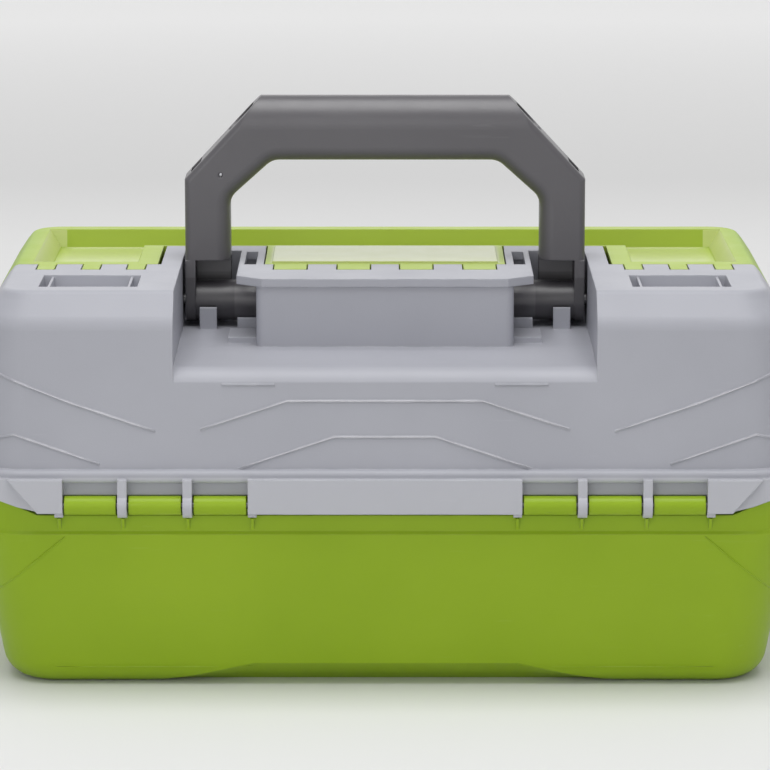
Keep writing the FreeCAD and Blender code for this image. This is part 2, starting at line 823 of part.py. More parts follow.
def make_plain_leaf():
    outer = merge([lid_outer(), styling_lines(1)])
    recess = [trough_room(0)] + pair(end_bay(0))
    walls = [trough_room(wall)] + pair(end_bay(wall))
    room = lid_lined(-wall).cut(group(walls))
    shell = outer.cut(group(recess)).cut(room)
    shell = shell.common(leaf_region(1)).cut(hinge_bay(1))
    pads = [pad.cut(lid_lined(-wall)) for pad in latch_pads(1)]
    tips = tip_boxes(0, box_height - tip_thick)
    label_pad = block(-pad_half, pad_half, pad_near_y, pad_far_y,
                      box_height - wall / 2, box_height + pad_proud)
    rims = [edge for edge in label_pad.Edges if edge.BoundBox.ZMin > box_height]
    label_pad = label_pad.makeFillet(pad_round, rims)
    added = hinge_side(1) + tips + [label_pad] + link_lugs(1) + pads + latch_lugs()
    shell = merge([shell] + added)
    holes = pair(z_bar(latch_pin_radius + pin_play, latch_axis()[0], latch_axis()[1],
                       latch_low_z - latch_lug_end, latch_high_z + latch_lug_end))
    return shell.cut(group(leaf_holes(1) + holes))


def trough_room(grow):
    return tapered_pit(-trough_half - grow, trough_half + grow, trough_near_y - grow, trough_far_y + grow,
                       box_height - trough_depth - grow, trough_ramp, trough_ramp, trough_draft)


def end_bay(grow):
    """Wide bay at the +X end of the trough, or its wall when grown."""
    return tapered_pit(bay_inner - grow, trough_half + grow, bay_near_y - grow, trough_near_y + trough_draft,
                       box_height - trough_depth - grow, bay_inner_ramp, trough_ramp, trough_draft)


# Latches. The knuckle turns on a pin between two lugs of the plain leaf.

def latch_axis():
    """X and Y of the latch's upright pin on the +X side."""
    return pad_face_x + knuckle_radius + part_gap, seam_y + latch_axis_reach


def latch_lugs():
    axis_x, axis_y = latch_axis()
    lugs = []
    ends = ((latch_low_z - latch_lug_end, latch_low_z + knuckle_end - part_gap),
            (latch_high_z - knuckle_end + part_gap, latch_high_z + latch_lug_end))
    for low, high in ends:
        drum = z_bar(knuckle_radius, axis_x, axis_y, low, high)
        foot = block(pad_face_x - wall, axis_x, axis_y - knuckle_radius, axis_y + knuckle_radius, low, high)
        lugs += pair(drum.fuse(foot))
    return lugs


def catch_ridges():
    """Low ridge on each pad of the handled leaf, just inside the latch's hook."""
    far_y = seam_y - catch_reach
    return pair(block(pad_face_x - wall, pad_face_x + catch_proud, far_y - catch_wide, far_y,
                      latch_low_z + knuckle_end, latch_high_z - knuckle_end))


def make_latch():
    axis_x, axis_y = latch_axis()
    inner_x = pad_face_x + latch_play
    outer_x = inner_x + latch_thick
    nose_y = seam_y - latch_nose_reach
    plate = block(inner_x, outer_x, nose_y, axis_y - knuckle_clear, latch_low_z, latch_high_z)
    nose_edges = []
    for edge in plate.Edges:
        if edge.BoundBox.YMax < nose_y + part_gap and edge.BoundBox.ZLength < part_gap:
            nose_edges.append(edge)
    plate = plate.makeFillet(latch_thick, nose_edges)
    neck = block(inner_x, outer_x, axis_y - 2 * knuckle_clear, axis_y,
                 latch_low_z + knuckle_end, latch_high_z - knuckle_end)
    knuckle = z_bar(knuckle_radius, axis_x, axis_y, latch_low_z + knuckle_end, latch_high_z - knuckle_end)
    lip_outline = ((inner_x, nose_y + latch_thick), (inner_x + latch_flare_out, nose_y - latch_flare),
                   (outer_x + latch_flare_out, nose_y - latch_flare), (outer_x, nose_y + latch_thick))
    corners = [Vector(x, y, latch_low_z + latch_thick) for x, y in lip_outline]
    face = Part.Face(Part.makePolygon(corners + corners[:1]))
    lip = face.extrude(Vector(0, 0, latch_high_z - latch_low_z - 2 * latch_thick))
    hook_far = seam_y - catch_reach - catch_wide - hook_gap_y
    hook = block(pad_face_x + catch_proud + hook_gap, inner_x + latch_thick / 2,
                 hook_far - hook_wide, hook_far, latch_low_z + knuckle_end, latch_high_z - knuckle_end)
    body = merge([plate, neck, knuckle, lip, hook])
    return body.cut(z_bar(latch_pin_radius + pin_play, axis_x, axis_y, latch_low_z, latch_high_z))


def make_latch_pin():
    axis_x, axis_y = latch_axis()
    return z_bar(latch_pin_radius, axis_x, axis_y, latch_low_z - latch_lug_end, latch_high_z + latch_lug_end)


# Handle

def grip_room(near_y, far_y):
    """Space with a half oval over the grip and straight sides below it, to round the grip's top."""
    end_x = handle_half + overrun
    mid_y = (near_y + far_y) / 2
    mid_z = handle_top_z - grip_crown
    centre = Vector(-end_x, mid_y, mid_z)
    oval = Part.Ellipse(Vector(-end_x, mid_y, handle_top_z), Vector(-end_x, far_y, mid_z), centre)
    arch = Part.Arc(oval, -math.pi / 2, math.pi / 2).toShape()
    sides = [Vector(-end_x, y, z) for y, z in ((far_y, mid_z), (far_y, 0), (near_y, 0), (near_y, mid_z))]
    lines = [Part.makeLine(a, b) for a, b in zip(sides[:-1], sides[1:])]
    return Part.Face(Part.Wire([arch] + lines)).extrude(Vector(2 * end_x, 0, 0))


def opening_edges(bow):
    """Edges round the hand opening of the handle, above its open foot."""
    edges = []
    for edge in bow.Edges:
        bounds = edge.BoundBox
        inside = max(abs(bounds.XMin), abs(bounds.XMax)) < arm_inner + part_gap
        if inside and arm_web_end_z + part_gap < bounds.ZMax < handle_top_z - grip_crown:
            edges.append(edge)
    return edges


def make_handle():
    near_y = pivot_y - handle_near
    far_y = pivot_y + handle_far
    low_z = arm_web_end_z
    outer = [(-handle_half, low_z), (-handle_half, handle_top_z - outer_bevel_high),
             (outer_bevel_wide - handle_half, handle_top_z)]
    outer += [(-x, z) for x, z in reversed(outer)]
    inner = [(arm_inner, low_z), (arm_inner, handle_grip_z - inner_bevel_high),
             (arm_inner - inner_bevel_wide, handle_grip_z)]
    inner += [(-x, z) for x, z in reversed(inner)]
    bow = flat_xz(outer + inner, near_y, far_y)
    corners = [edge for edge in opening_edges(bow) if edge.BoundBox.YLength > handle_near]
    bow = bow.makeFillet(handle_corner_round, corners)
    inner_edges = [edge for edge in opening_edges(bow) if edge.BoundBox.YLength < part_gap]
    bow = bow.makeFillet(handle_inner_round, inner_edges)
    outer_edges = []
    for edge in bow.Edges:
        bounds = edge.BoundBox
        beyond = max(abs(bounds.XMin), abs(bounds.XMax)) > arm_inner + part_gap
        level = bounds.ZMin > handle_top_z - part_gap
        if bounds.YLength < part_gap and (beyond or level) and bounds.ZMax > low_z + part_gap:
            outer_edges.append(edge)
    bow = bow.makeFillet(handle_round, outer_edges).common(grip_room(near_y, far_y))
    core_near = near_y + grip_core_wall
    core_far = far_y - grip_core_wall
    grip_core = block(-handle_half, handle_half, core_near, core_far,
                      handle_grip_z + grip_core_foot, handle_top_z - grip_core_wall)
    core_edges = [edge for edge in grip_core.Edges if edge.BoundBox.XLength > handle_half]
    grip_core = grip_core.makeFillet(grip_core_round, core_edges)
    arm_core_end = handle_half - arm_core_in
    arm_core = block(arm_core_end - arm_core_wide, arm_core_end, core_near, core_far,
                     box_height + arm_core_rise, handle_top_z)
    bow = bow.cut(group([grip_core] + pair(arm_core)))
    cheek_inner = handle_half - cheek_thick
    far_web = block(arm_inner, cheek_inner + part_gap, far_y - far_web_thick, far_y,
                    pivot_z - far_web_drop, low_z)
    cheek = block(cheek_inner, handle_half, near_y, far_y, pivot_z, low_z)
    cheek_foot = x_bar(handle_near, cheek_inner, handle_half, pivot_y, pivot_z)
    cheek_wedge = flat_yz(((pivot_y, pivot_z - handle_near), (pivot_y, pivot_z), (far_y, pivot_z)),
                          cheek_inner, handle_half)
    hub = x_bar(hub_radius, hub_inner, cheek_inner + part_gap, pivot_y, pivot_z)
    body = merge([bow] + pair(far_web) + pair(cheek) + pair(cheek_foot) + pair(cheek_wedge) + pair(hub))
    bore = pair(x_bar(axle_radius + pin_play, axle_inner_end, axle_outer_end, pivot_y, pivot_z))
    mark = Part.makeSphere(gate_mark_radius, Vector(-arm_inner - gate_mark_in,
                                                    near_y + gate_mark_depth - gate_mark_radius,
                                                    handle_grip_z - gate_mark_drop))
    return body.cut(group(bore + [mark]))


def make_axle():
    """Handle axle on the +X side, with a head outside the well's end wall."""
    shaft = x_bar(axle_radius, axle_inner_end, axle_outer_end, pivot_y, pivot_z)
    head = x_bar(axle_head_radius, axle_outer_end - axle_head_thick, axle_outer_end, pivot_y, pivot_z)
    return merge([shaft, head])


# Hinge rods, links, pins and trays

def make_rod(sign):
    return x_bar(rod_radius, rod_inner_end + part_gap, rod_outer_end - part_gap, sign * hinge_y, hinge_z)


def make_arm(sign):
    """Flat link on the +X side, from its root on the tub to its tip on the tray."""
    root_y, root_z = arm_root(sign)
    tip_y, tip_z = arm_tip(sign)
    high_x = arm_face_x + arm_thick
    length = math.hypot(tip_y - root_y, tip_z - root_z)
    side_y = -(tip_z - root_z) / length * arm_width / 2
    side_z = (tip_y - root_y) / length * arm_width / 2
    points = ((root_y + side_y, root_z + side_z), (tip_y + side_y, tip_z + side_z),
              (tip_y - side_y, tip_z - side_z), (root_y - side_y, root_z - side_z))
    bar = flat_yz(points, arm_face_x, high_x)
    ends = [x_bar(arm_width / 2, arm_face_x, high_x, root_y, root_z),
            x_bar(arm_width / 2, arm_face_x, high_x, tip_y, tip_z)]
    body = merge([bar] + ends)
    holes = [x_bar(link_pin_radius + pin_play, arm_face_x, high_x, root_y, root_z),
             x_bar(link_pin_radius + pin_play, arm_face_x, high_x, tip_y, tip_z)]
    return body.cut(group(holes))


def headed_pin(x_inner, x_outer, head_x, y, z):
    """Pin along X with a flat head that starts at head_x."""
    shaft = x_bar(link_pin_radius, x_inner, x_outer, y, z)
    head = x_bar(link_head_radius, head_x, head_x + link_head_thick, y, z)
    return merge([shaft, head])


def arm_root_pins(sign):
    y, z = arm_root(sign)
    head_x = arm_face_x - part_gap / 4 - link_head_thick
    return group(pair(headed_pin(head_x, arm_pin_end() - part_gap, head_x, y, z)))


def arm_tip_pins(sign):
    y, z = arm_tip(sign)
    head_x = arm_face_x + arm_thick + part_gap / 4
    inner_x = tray_half - tray_wall - link_head_thick
    return group(pair(headed_pin(inner_x, head_x + link_head_thick, head_x, y, z)))


def tray_pins(sign):
    y, z = leaf_pin(sign)
    head_x = tray_half - tray_wall - link_head_thick - part_gap / 4
    return group(pair(headed_pin(head_x, leaf_pin_end() - part_gap, head_x, y, z)))


def tray_box(half_x, outer_y, inner_y, corner, low_z, high_z):
    """A round-cornered block between two Y values on the +Y side."""
    half_y = (outer_y - inner_y) / 2
    levels = [(half_x, half_y, corner, low_z), (half_x, half_y, corner, high_z)]
    body = tower(levels)
    body.translate(Vector(0, (outer_y + inner_y) / 2, 0))
    return body


def divider_places():
    """X places of the loose dividers, evenly spaced along the tray."""
    inside = 2 * (tray_half - tray_wall)
    pitch = inside / (divider_count + 1)
    return [-inside / 2 + pitch * (step + 1) for step in range(divider_count)]


def make_tray(sign):
    body = tray_box(tray_half, tray_outer_y, tray_inner_y, tray_corner, tray_low_z, tray_high_z)
    foot = [edge for edge in body.Edges if edge.BoundBox.ZMax < tray_low_z + part_gap]
    body = body.makeFillet(tray_foot_round, foot)
    room = tray_box(tray_half - tray_wall, tray_outer_y - tray_wall, tray_inner_y + tray_wall,
                    tray_corner - tray_wall, tray_low_z + tray_wall, tray_high_z + overrun)
    foot = [edge for edge in room.Edges if edge.BoundBox.ZMax < tray_low_z + 2 * tray_wall]
    room = room.makeFillet(tray_foot_round - tray_wall / 2, foot)
    rim = tray_box(tray_half + tray_rim_wide, tray_outer_y + tray_rim_wide, tray_inner_y - tray_rim_wide,
                   tray_corner + tray_rim_wide, tray_high_z - tray_rim_high, tray_high_z)
    shell = merge([body, rim]).cut(room)
    guides = []
    for x in divider_places():
        for side in (-1, 1):
            centre = x + side * (divider_thick / 2 + divider_play + guide_thick / 2)
            for y_wall, inward in ((tray_outer_y - tray_wall, -1), (tray_inner_y + tray_wall, 1)):
                ends = (y_wall - inward * tray_wall / 2, y_wall + inward * guide_reach)
                guides.append(block(centre - guide_thick / 2, centre + guide_thick / 2,
                                    min(ends), max(ends), tray_low_z + tray_wall,
                                    tray_high_z - divider_top_gap))
    shell = merge([shell] + guides)
    if sign < 0:
        shell = mirror_y(shell)
    holes = []
    bore = link_pin_radius + pin_play
    for y, z in (leaf_pin(sign), arm_tip(sign)):
        holes += pair(x_bar(bore, tray_half - 2 * tray_wall, tray_half + part_gap, y, z))
    return shell.cut(group(holes))


def make_dividers(sign):
    plates = []
    for x in divider_places():
        plate = block(x - divider_thick / 2, x + divider_thick / 2, tray_inner_y + tray_wall + divider_play,
                      tray_outer_y - tray_wall - divider_play, tray_low_z + tray_wall + tray_foot_round / 2,
                      tray_high_z - divider_top_gap)
        plates.append(plate if sign > 0 else mirror_y(plate))
    return group(plates)


save("tub", make_tub())
save("handled_lid_leaf", make_handled_leaf())
save("plain_lid_leaf", make_plain_leaf())
save("carry_handle", make_handle())
for side_name, side in (("handled", -1), ("plain", 1)):
    save(side_name + "_hinge_rod_right", make_rod(side))
    save(side_name + "_hinge_rod_left", mirror_x(make_rod(side)))
    save(side_name + "_tray", make_tray(side))
    save(side_name + "_tray_dividers", make_dividers(side))
    save(side_name + "_tray_arm_right", make_arm(side))
    save(side_name + "_tray_arm_left", mirror_x(make_arm(side)))
    save(side_name + "_arm_root_pins", arm_root_pins(side))
    save(side_name + "_arm_tip_pins", arm_tip_pins(side))
    save(side_name + "_tray_pins", tray_pins(side))
save("handle_axle_right", make_axle())
save("handle_axle_left", mirror_x(make_axle()))
save("latch_right", make_latch())
save("latch_left", mirror_x(make_latch()))
save("latch_pin_right", make_latch_pin())
save("latch_pin_left", mirror_x(make_latch_pin()))
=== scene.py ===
# %% [markdown]
# # A moulded tackle box in three plastics
# The box is a green tub with a lid of two leaves. One leaf is grey and carries a dark folding
# handle, and the other is green like the tub. The construction comes from the frame, so this
# lesson dresses it: each plastic gets its own finish, and each finish is built from small
# effects that several plastics share.

# %% Load the frame
import json
import math

import bmesh
import bpy
from mathutils import Matrix, Vector


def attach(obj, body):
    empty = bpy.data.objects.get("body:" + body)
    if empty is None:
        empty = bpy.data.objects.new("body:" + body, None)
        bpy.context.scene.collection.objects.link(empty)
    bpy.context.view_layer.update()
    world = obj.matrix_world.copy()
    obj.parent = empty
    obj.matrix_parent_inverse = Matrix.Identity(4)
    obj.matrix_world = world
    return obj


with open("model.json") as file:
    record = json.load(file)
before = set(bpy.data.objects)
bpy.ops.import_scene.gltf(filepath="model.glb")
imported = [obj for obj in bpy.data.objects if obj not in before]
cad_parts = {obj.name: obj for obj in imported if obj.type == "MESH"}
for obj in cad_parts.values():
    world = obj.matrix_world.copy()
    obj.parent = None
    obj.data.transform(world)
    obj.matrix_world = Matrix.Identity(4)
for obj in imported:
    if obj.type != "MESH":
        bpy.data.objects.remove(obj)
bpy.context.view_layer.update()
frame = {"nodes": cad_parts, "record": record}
nodes = frame["nodes"]

# %% [markdown]
# Colours are judged on a screen, as whole numbers from 0 to 255. A shader needs linear
# light, so one small function turns the first into the second.


# %% Colour and length helpers
MM = 0.001


def linear(red, green, blue):
    """A colour judged on the screen, in the linear light that a shader needs."""
    shares = [value / 255 for value in (red, green, blue)]
    return tuple(s / 12.92 if s <= 0.04045 else ((s + 0.055) / 1.055) ** 2.4 for s in shares) + (1,)


# %% [markdown]
# A node group is a little machine with labelled inputs and outputs. It is built once and then
# placed in as many materials as need it, each time with other numbers. This helper opens an
# empty group and gives it its sockets.


# %% Open an empty effect
def open_effect(name, inputs, outputs):
    """A shader node group with (label, kind, default) inputs and (label, kind) outputs."""
    tree = bpy.data.node_groups.new(name, "ShaderNodeTree")
    for label, kind, default in inputs:
        socket = tree.interface.new_socket(label, in_out="INPUT", socket_type="NodeSocket" + kind)
        socket.default_value = default
    for label, kind in outputs:
        tree.interface.new_socket(label, in_out="OUTPUT", socket_type="NodeSocket" + kind)
    return tree, tree.nodes.new("NodeGroupInput"), tree.nodes.new("NodeGroupOutput")


def wire(tree, source, target):
    """Link two sockets of a tree."""
    tree.links.new(source, target)


def add_math(tree, operation, first, second=None, third=None):
    """A Math node. Numbers are set on its sockets and sockets are linked to them."""
    node = tree.nodes.new("ShaderNodeMath")
    node.operation = operation
    for slot, value in zip(node.inputs, (first, second, third)):
        if isinstance(value, (int, float)):
            slot.default_value = value
        elif value is not None:
            wire(tree, value, slot)
    return node.outputs[0]


def add_vector_math(tree, operation, first, second=None):
    """A Vector Math node between two linked sockets."""
    node = tree.nodes.new("ShaderNodeVectorMath")
    node.operation = operation
    wire(tree, first, node.inputs[0])
    if second is not None:
        wire(tree, second, node.inputs[1])
    return node.outputs["Vector"]


def add_noise(tree, coordinate, scale, detail=2.0, rough=0.5, distort=0.0):
    """A noise texture's grey value; scale may be a number or a socket."""
    node = tree.nodes.new("ShaderNodeTexNoise")
    node.inputs["Detail"].default_value = detail
    node.inputs["Roughness"].default_value = rough
    node.inputs["Distortion"].default_value = distort
    wire(tree, coordinate, node.inputs["Vector"])
    if isinstance(scale, (int, float)):
        node.inputs["Scale"].default_value = scale
    else:
        wire(tree, scale, node.inputs["Scale"])
    return node.outputs["Fac"]


def add_range(tree, value, from_low, from_high, to_low=0.0, to_high=1.0):
    """A clamped Map Range node."""
    node = tree.nodes.new("ShaderNodeMapRange")
    bounds = {"From Min": from_low, "From Max": from_high, "To Min": to_low, "To Max": to_high}
    for label, number in bounds.items():
        node.inputs[label].default_value = number
    wire(tree, value, node.inputs["Value"])
    return node.outputs["Result"]


# %% [markdown]
# ## Mould grain
# The steel of a mould is etched or sparked, so the plastic leaves it with a fine, even grain.
# Seen close it breaks up the highlights. A second, much wider and weaker wave stands for the
# slight sink of real plastic as it cools.

# %% Mould grain effect
def make_grain():
    """Height of the fine grain plus a share of a wide, slow wave."""
    tree, enter, leave = open_effect("mould_grain",
        [("Grain Scale", "Float", 1500.0), ("Wave Scale", "Float", 30.0), ("Wave Share", "Float", 0.5)],
        [("Height", "Float")])
    place = tree.nodes.new("ShaderNodeTexCoord").outputs["Object"]
    fine = add_noise(tree, place, enter.outputs["Grain Scale"], detail=1.0)
    wave = add_noise(tree, place, enter.outputs["Wave Scale"], detail=0.0)
    wave = add_math(tree, "MULTIPLY", wave, enter.outputs["Wave Share"])
    wire(tree, add_math(tree, "ADD", fine, wave), leave.inputs["Height"])
    return tree


grain = make_grain()
print("effect", grain.name)

# %% [markdown]
# ## Edge wear
# Corners of a box that is carried about are rubbed pale and smooth. The Bevel node gives the
# normal that a rounded edge would have. Where it turns away from the true normal there is an
# edge, and noise breaks the rub up, because real wear comes in patches. The same rounded
# normal also takes the knife-sharp look off every edge of the mouldings.

# %% Edge wear effect
edge_radius = 0.9 * MM


def make_wear():
    """Mask of the rubbed edges, and the normal of slightly rounded edges."""
    tree, enter, leave = open_effect("edge_wear",
        [("Patch Scale", "Float", 60.0), ("Amount", "Float", 0.5)],
        [("Mask", "Float"), ("Normal", "Vector")])
    place = tree.nodes.new("ShaderNodeTexCoord").outputs["Object"]
    rounding = tree.nodes.new("ShaderNodeBevel")
    rounding.samples = 6
    rounding.inputs["Radius"].default_value = edge_radius
    true_normal = tree.nodes.new("ShaderNodeNewGeometry").outputs["Normal"]
    compare = tree.nodes.new("ShaderNodeVectorMath")
    compare.operation = "DOT_PRODUCT"
    wire(tree, rounding.outputs["Normal"], compare.inputs[0])
    wire(tree, true_normal, compare.inputs[1])
    edge = add_range(tree, compare.outputs["Value"], 0.985, 0.86)
    patch = add_range(tree, add_noise(tree, place, enter.outputs["Patch Scale"], detail=4.0), 0.42, 0.62)
    worn = add_math(tree, "MULTIPLY", edge, patch)
    wire(tree, add_math(tree, "MULTIPLY", worn, enter.outputs["Amount"]), leave.inputs["Mask"])
    wire(tree, rounding.outputs["Normal"], leave.inputs["Normal"])
    return tree


wear = make_wear()
print("effect", wear.name)

# %% [markdown]
# ## Scuffs
# Light scratches run a few centimetres and are far thinner than they are long. Stretching the
# coordinates of a noise along one direction draws such streaks, and a high threshold keeps
# only a few of them. Two layers at different angles keep them from looking combed.

# %% Scuff effect
streak_layers = ((18, 14.0), (-31, 9.0))  # angle in degrees, stretch


def make_scuffs():
    """Mask of long light scratches in a few areas."""
    tree, enter, leave = open_effect("light_scuffs", [("Amount", "Float", 0.5)], [("Mask", "Float")])
    place = tree.nodes.new("ShaderNodeTexCoord").outputs["Object"]
    layers = []
    for angle, stretch in streak_layers:
        turn = tree.nodes.new("ShaderNodeMapping")
        turn.inputs["Rotation"].default_value = (0, math.radians(angle), math.radians(angle))
        turn.inputs["Scale"].default_value = (1, stretch, stretch)
        wire(tree, place, turn.inputs["Vector"])
        streak = add_noise(tree, turn.outputs["Vector"], 24.0, detail=3.0, rough=0.6)
        layers.append(add_range(tree, streak, 0.66, 0.74))
    both = add_math(tree, "MAXIMUM", *layers)
    area = add_range(tree, add_noise(tree, place, 9.0), 0.45, 0.65)
    marked = add_math(tree, "MULTIPLY", both, area)
    wire(tree, add_math(tree, "MULTIPLY", marked, enter.outputs["Amount"]), leave.inputs["Mask"])
    return tree


scuffs = make_scuffs()
print("effect", scuffs.name)
# %% [markdown]
# ## Polished and painted windows
# Most of a mould is grained, but a label pad or the floor of a bay is often polished, so the
# plastic comes out smooth there and mirrors the room. The same windows also carry painted light:
# a paler colour for a painted sheen or highlight, and a darker one for painted shade. The pieces
# are not split where the finish changes, so a mask finds the place: it is 1 inside a box and falls
# to 0 near the box's faces.

# %% Window effect for polish and painted light
def make_window():
    """Mask of the inside of a box: 1 well inside, 0 at its faces and outside."""
    tree, enter, leave = open_effect("polish_and_painted_light_window",
        [("Centre", "Vector", (0, 0, 0)), ("Half Size", "Vector", (1, 1, 1)),
         ("Soft Share", "Float", 0.05)],
        [("Mask", "Float")])
    place = tree.nodes.new("ShaderNodeTexCoord").outputs["Object"]
    offset = add_vector_math(tree, "SUBTRACT", place, enter.outputs["Centre"])
    share = add_vector_math(tree, "DIVIDE", offset, enter.outputs["Half Size"])
    split = tree.nodes.new("ShaderNodeSeparateXYZ")
    wire(tree, add_vector_math(tree, "ABSOLUTE", share), split.inputs[0])
    wide = add_math(tree, "MAXIMUM", split.outputs["X"], split.outputs["Y"])
    furthest = add_math(tree, "MAXIMUM", wide, split.outputs["Z"])
    inside = add_math(tree, "SUBTRACT", 1.0, furthest)
    mask = add_math(tree, "DIVIDE", inside, enter.outputs["Soft Share"])
    mask = add_math(tree, "MINIMUM", mask, 1.0)
    wire(tree, add_math(tree, "MAXIMUM", mask, 0.0), leave.inputs["Mask"])
    return tree


window = make_window()
print("effect", window.name)

# %% [markdown]
# ## One recipe for every moulded plastic
# Each plastic has a body colour, a slightly different second tone that drifts through it, a
# paler tone where it is rubbed, and a roughness. Windows get their own tone, in places a painted
# sheen, highlight or shade, and, where they are polished, a share of clear coat. The recipe puts
# the shared effects together and leaves the numbers to each plastic.

# %% Moulded plastic recipe
def place_effect(tree, group, **values):
    """Place an effect in a material and set its inputs, with underscores for spaces."""
    node = tree.nodes.new("ShaderNodeGroup")
    node.node_tree = group
    for label, value in values.items():
        node.inputs[label.replace("_", " ")].default_value = value
    return node


def mix_colour(tree, factor, first, second):
    """A Mix node of two colours, each a tuple or a socket."""
    node = tree.nodes.new("ShaderNodeMix")
    node.data_type = "RGBA"
    wire(tree, factor, node.inputs[0])
    for socket, value in ((node.inputs[6], first), (node.inputs[7], second)):
        if isinstance(value, tuple):
            socket.default_value = value
        else:
            wire(tree, value, socket)
    return node.outputs[2]


drift_scale, patch_scale, smudge_scale, grain_scale, wave_scale = 14.0, 70.0, 35.0, 1400.0, 26.0


def moulded_plastic(name, body, drift, rubbed, rough, grain_depth, wear_amount, scuff_amount,
                    specular=0.5, windows=()):
    """A moulded plastic; windows lists (centre, half size, colour, coat share) of places that differ in
    polish and in painted light and shade.
    """
    material = bpy.data.materials.new(name)
    material.use_nodes = True
    tree = material.node_tree
    shader = tree.nodes["Principled BSDF"]
    place = tree.nodes.new("ShaderNodeTexCoord").outputs["Object"]
    tone = add_range(tree, add_noise(tree, place, drift_scale, detail=3.0), 0.3, 0.7)
    worn = place_effect(tree, wear, Patch_Scale=patch_scale, Amount=wear_amount)
    marks = place_effect(tree, scuffs, Amount=scuff_amount)
    both = add_math(tree, "MAXIMUM", worn.outputs["Mask"], marks.outputs["Mask"])
    colour = mix_colour(tree, tone, body, drift)
    smudge = add_noise(tree, place, smudge_scale, detail=4.0, rough=0.6)
    smudge = add_range(tree, smudge, 0.35, 0.7, rough - 0.04, rough + 0.05)
    roughness = add_math(tree, "MULTIPLY_ADD", both, -0.1, smudge)
    coat = None
    for centre, half, shade, coat_share in windows:
        mask = place_effect(tree, window, Centre=centre, Half_Size=half).outputs["Mask"]
        colour = mix_colour(tree, mask, colour, shade)
        smooth = add_math(tree, "MULTIPLY", mask, coat_share)
        coat = smooth if coat is None else add_math(tree, "MAXIMUM", coat, smooth)
    if coat is not None:
        roughness = add_math(tree, "MULTIPLY_ADD", coat, -0.15, roughness)
        wire(tree, coat, shader.inputs["Coat Weight"])
        shader.inputs["Coat Roughness"].default_value = 0.2
    wire(tree, mix_colour(tree, both, colour, rubbed), shader.inputs["Base Color"])
    wire(tree, roughness, shader.inputs["Roughness"])
    texture = place_effect(tree, grain, Grain_Scale=grain_scale, Wave_Scale=wave_scale, Wave_Share=0.6)
    bump = tree.nodes.new("ShaderNodeBump")
    bump.inputs["Strength"].default_value = 1.0
    bump.inputs["Distance"].default_value = grain_depth
    wire(tree, texture.outputs["Height"], bump.inputs["Height"])
    wire(tree, worn.outputs["Normal"], bump.inputs["Normal"])
    wire(tree, bump.outputs["Normal"], shader.inputs["Normal"])
    shader.inputs["Specular IOR Level"].default_value = specular
    return material


# %% [markdown]
# ## The five plastics
# The windows come first: each is a centre, half a size, a colour and a share of clear coat. The
# flat top of the green leaf is painted paler as a painted sheen. Its label pad, trough floor and
# trough end walls are polished, and painted paler for their sheen as well. The hinge plates are
# painted lighter than the wall above, a painted highlight, and the hubs are painted darker, a
# painted shade.

# %% Windows and plastics
# painted sheen: the flat top of the green leaf is painted paler, with no coat
top_painted_sheen_window = ((0, 32 * MM, 195 * MM), (189 * MM, 100 * MM, 6 * MM), linear(162, 184, 62), 0.0)
# label pad: polished with clear coat, and painted paler as a painted sheen
pad_polish_and_sheen_window = ((0, 6.5 * MM, 200 * MM), (59.5 * MM, 26 * MM, 0.9 * MM), linear(162, 173, 90), 0.7)
# trough floor: polished with clear coat, and painted paler as a painted sheen
floor_polish_and_sheen_window = ((0, 36 * MM, 189.2 * MM), (176 * MM, 56 * MM, 0.5 * MM), linear(198, 210, 140), 0.7)
# painted highlight: the hinge plates are painted lighter than the wall above, with a little coat
hinge_plate_painted_highlight_window = ((0, -128.8 * MM, 97 * MM), (206 * MM, 6 * MM, 14 * MM), linear(184, 185, 192), 0.2)
both_ends = (-1, 1)
# trough end walls: some clear coat, and painted paler as a painted sheen
trough_end_polish_and_sheen_windows = [((end * 176 * MM, 36 * MM, 194.4 * MM), (5 * MM, 56 * MM, 4.7 * MM),
                linear(194, 206, 128), 0.3) for end in both_ends]
# painted shade: the handle's hubs are painted darker where shade falls round the pivots
hub_painted_shade_windows = [((end * 91 * MM, -1 * MM, 177 * MM), (14 * MM, 17 * MM, 14 * MM),
                linear(60, 58, 62), 0.0) for end in both_ends]
moulded_depth = 0.03 * MM
smooth_depth = 0.01 * MM
lime_plastic = moulded_plastic(
    "lime_plastic", linear(140, 171, 16), linear(147, 177, 24), linear(190, 208, 118), rough=0.42,
    grain_depth=moulded_depth, wear_amount=0.3, scuff_amount=0.1, specular=0.35,
    windows=(top_painted_sheen_window, pad_polish_and_sheen_window, floor_polish_and_sheen_window, *trough_end_polish_and_sheen_windows))
grey_plastic = moulded_plastic(
    "grey_plastic", linear(165, 166, 174), linear(170, 171, 179), linear(222, 222, 228), rough=0.45,
    grain_depth=moulded_depth, wear_amount=0.55, scuff_amount=0.1, specular=0.4,
    windows=(hinge_plate_painted_highlight_window,))
dark_plastic = moulded_plastic(
    "dark_plastic", linear(79, 77, 81), linear(84, 82, 86), linear(136, 134, 138), rough=0.4,
    grain_depth=moulded_depth, wear_amount=0.4, scuff_amount=0.1, specular=0.85,
    windows=hub_painted_shade_windows)
tray_plastic = moulded_plastic(
    "tray_plastic", linear(150, 152, 158), linear(158, 160, 166), linear(190, 190, 196), rough=0.5,
    grain_depth=moulded_depth, wear_amount=0.3, scuff_amount=0.3)
clear_grey_plastic = moulded_plastic(
    "clear_grey_plastic", linear(186, 188, 194), linear(192, 194, 200), linear(212, 212, 218),
    rough=0.3, grain_depth=smooth_depth, wear_amount=0.2, scuff_amount=0.3)
print("finishes", [made.name for made in bpy.data.materials])

# %% [markdown]
# ## Drawn steel
# The hinge rods and axles are plain drawn wire. Drawing leaves fine lines along the rod, so
# the noise is stretched along X and drives the roughness.


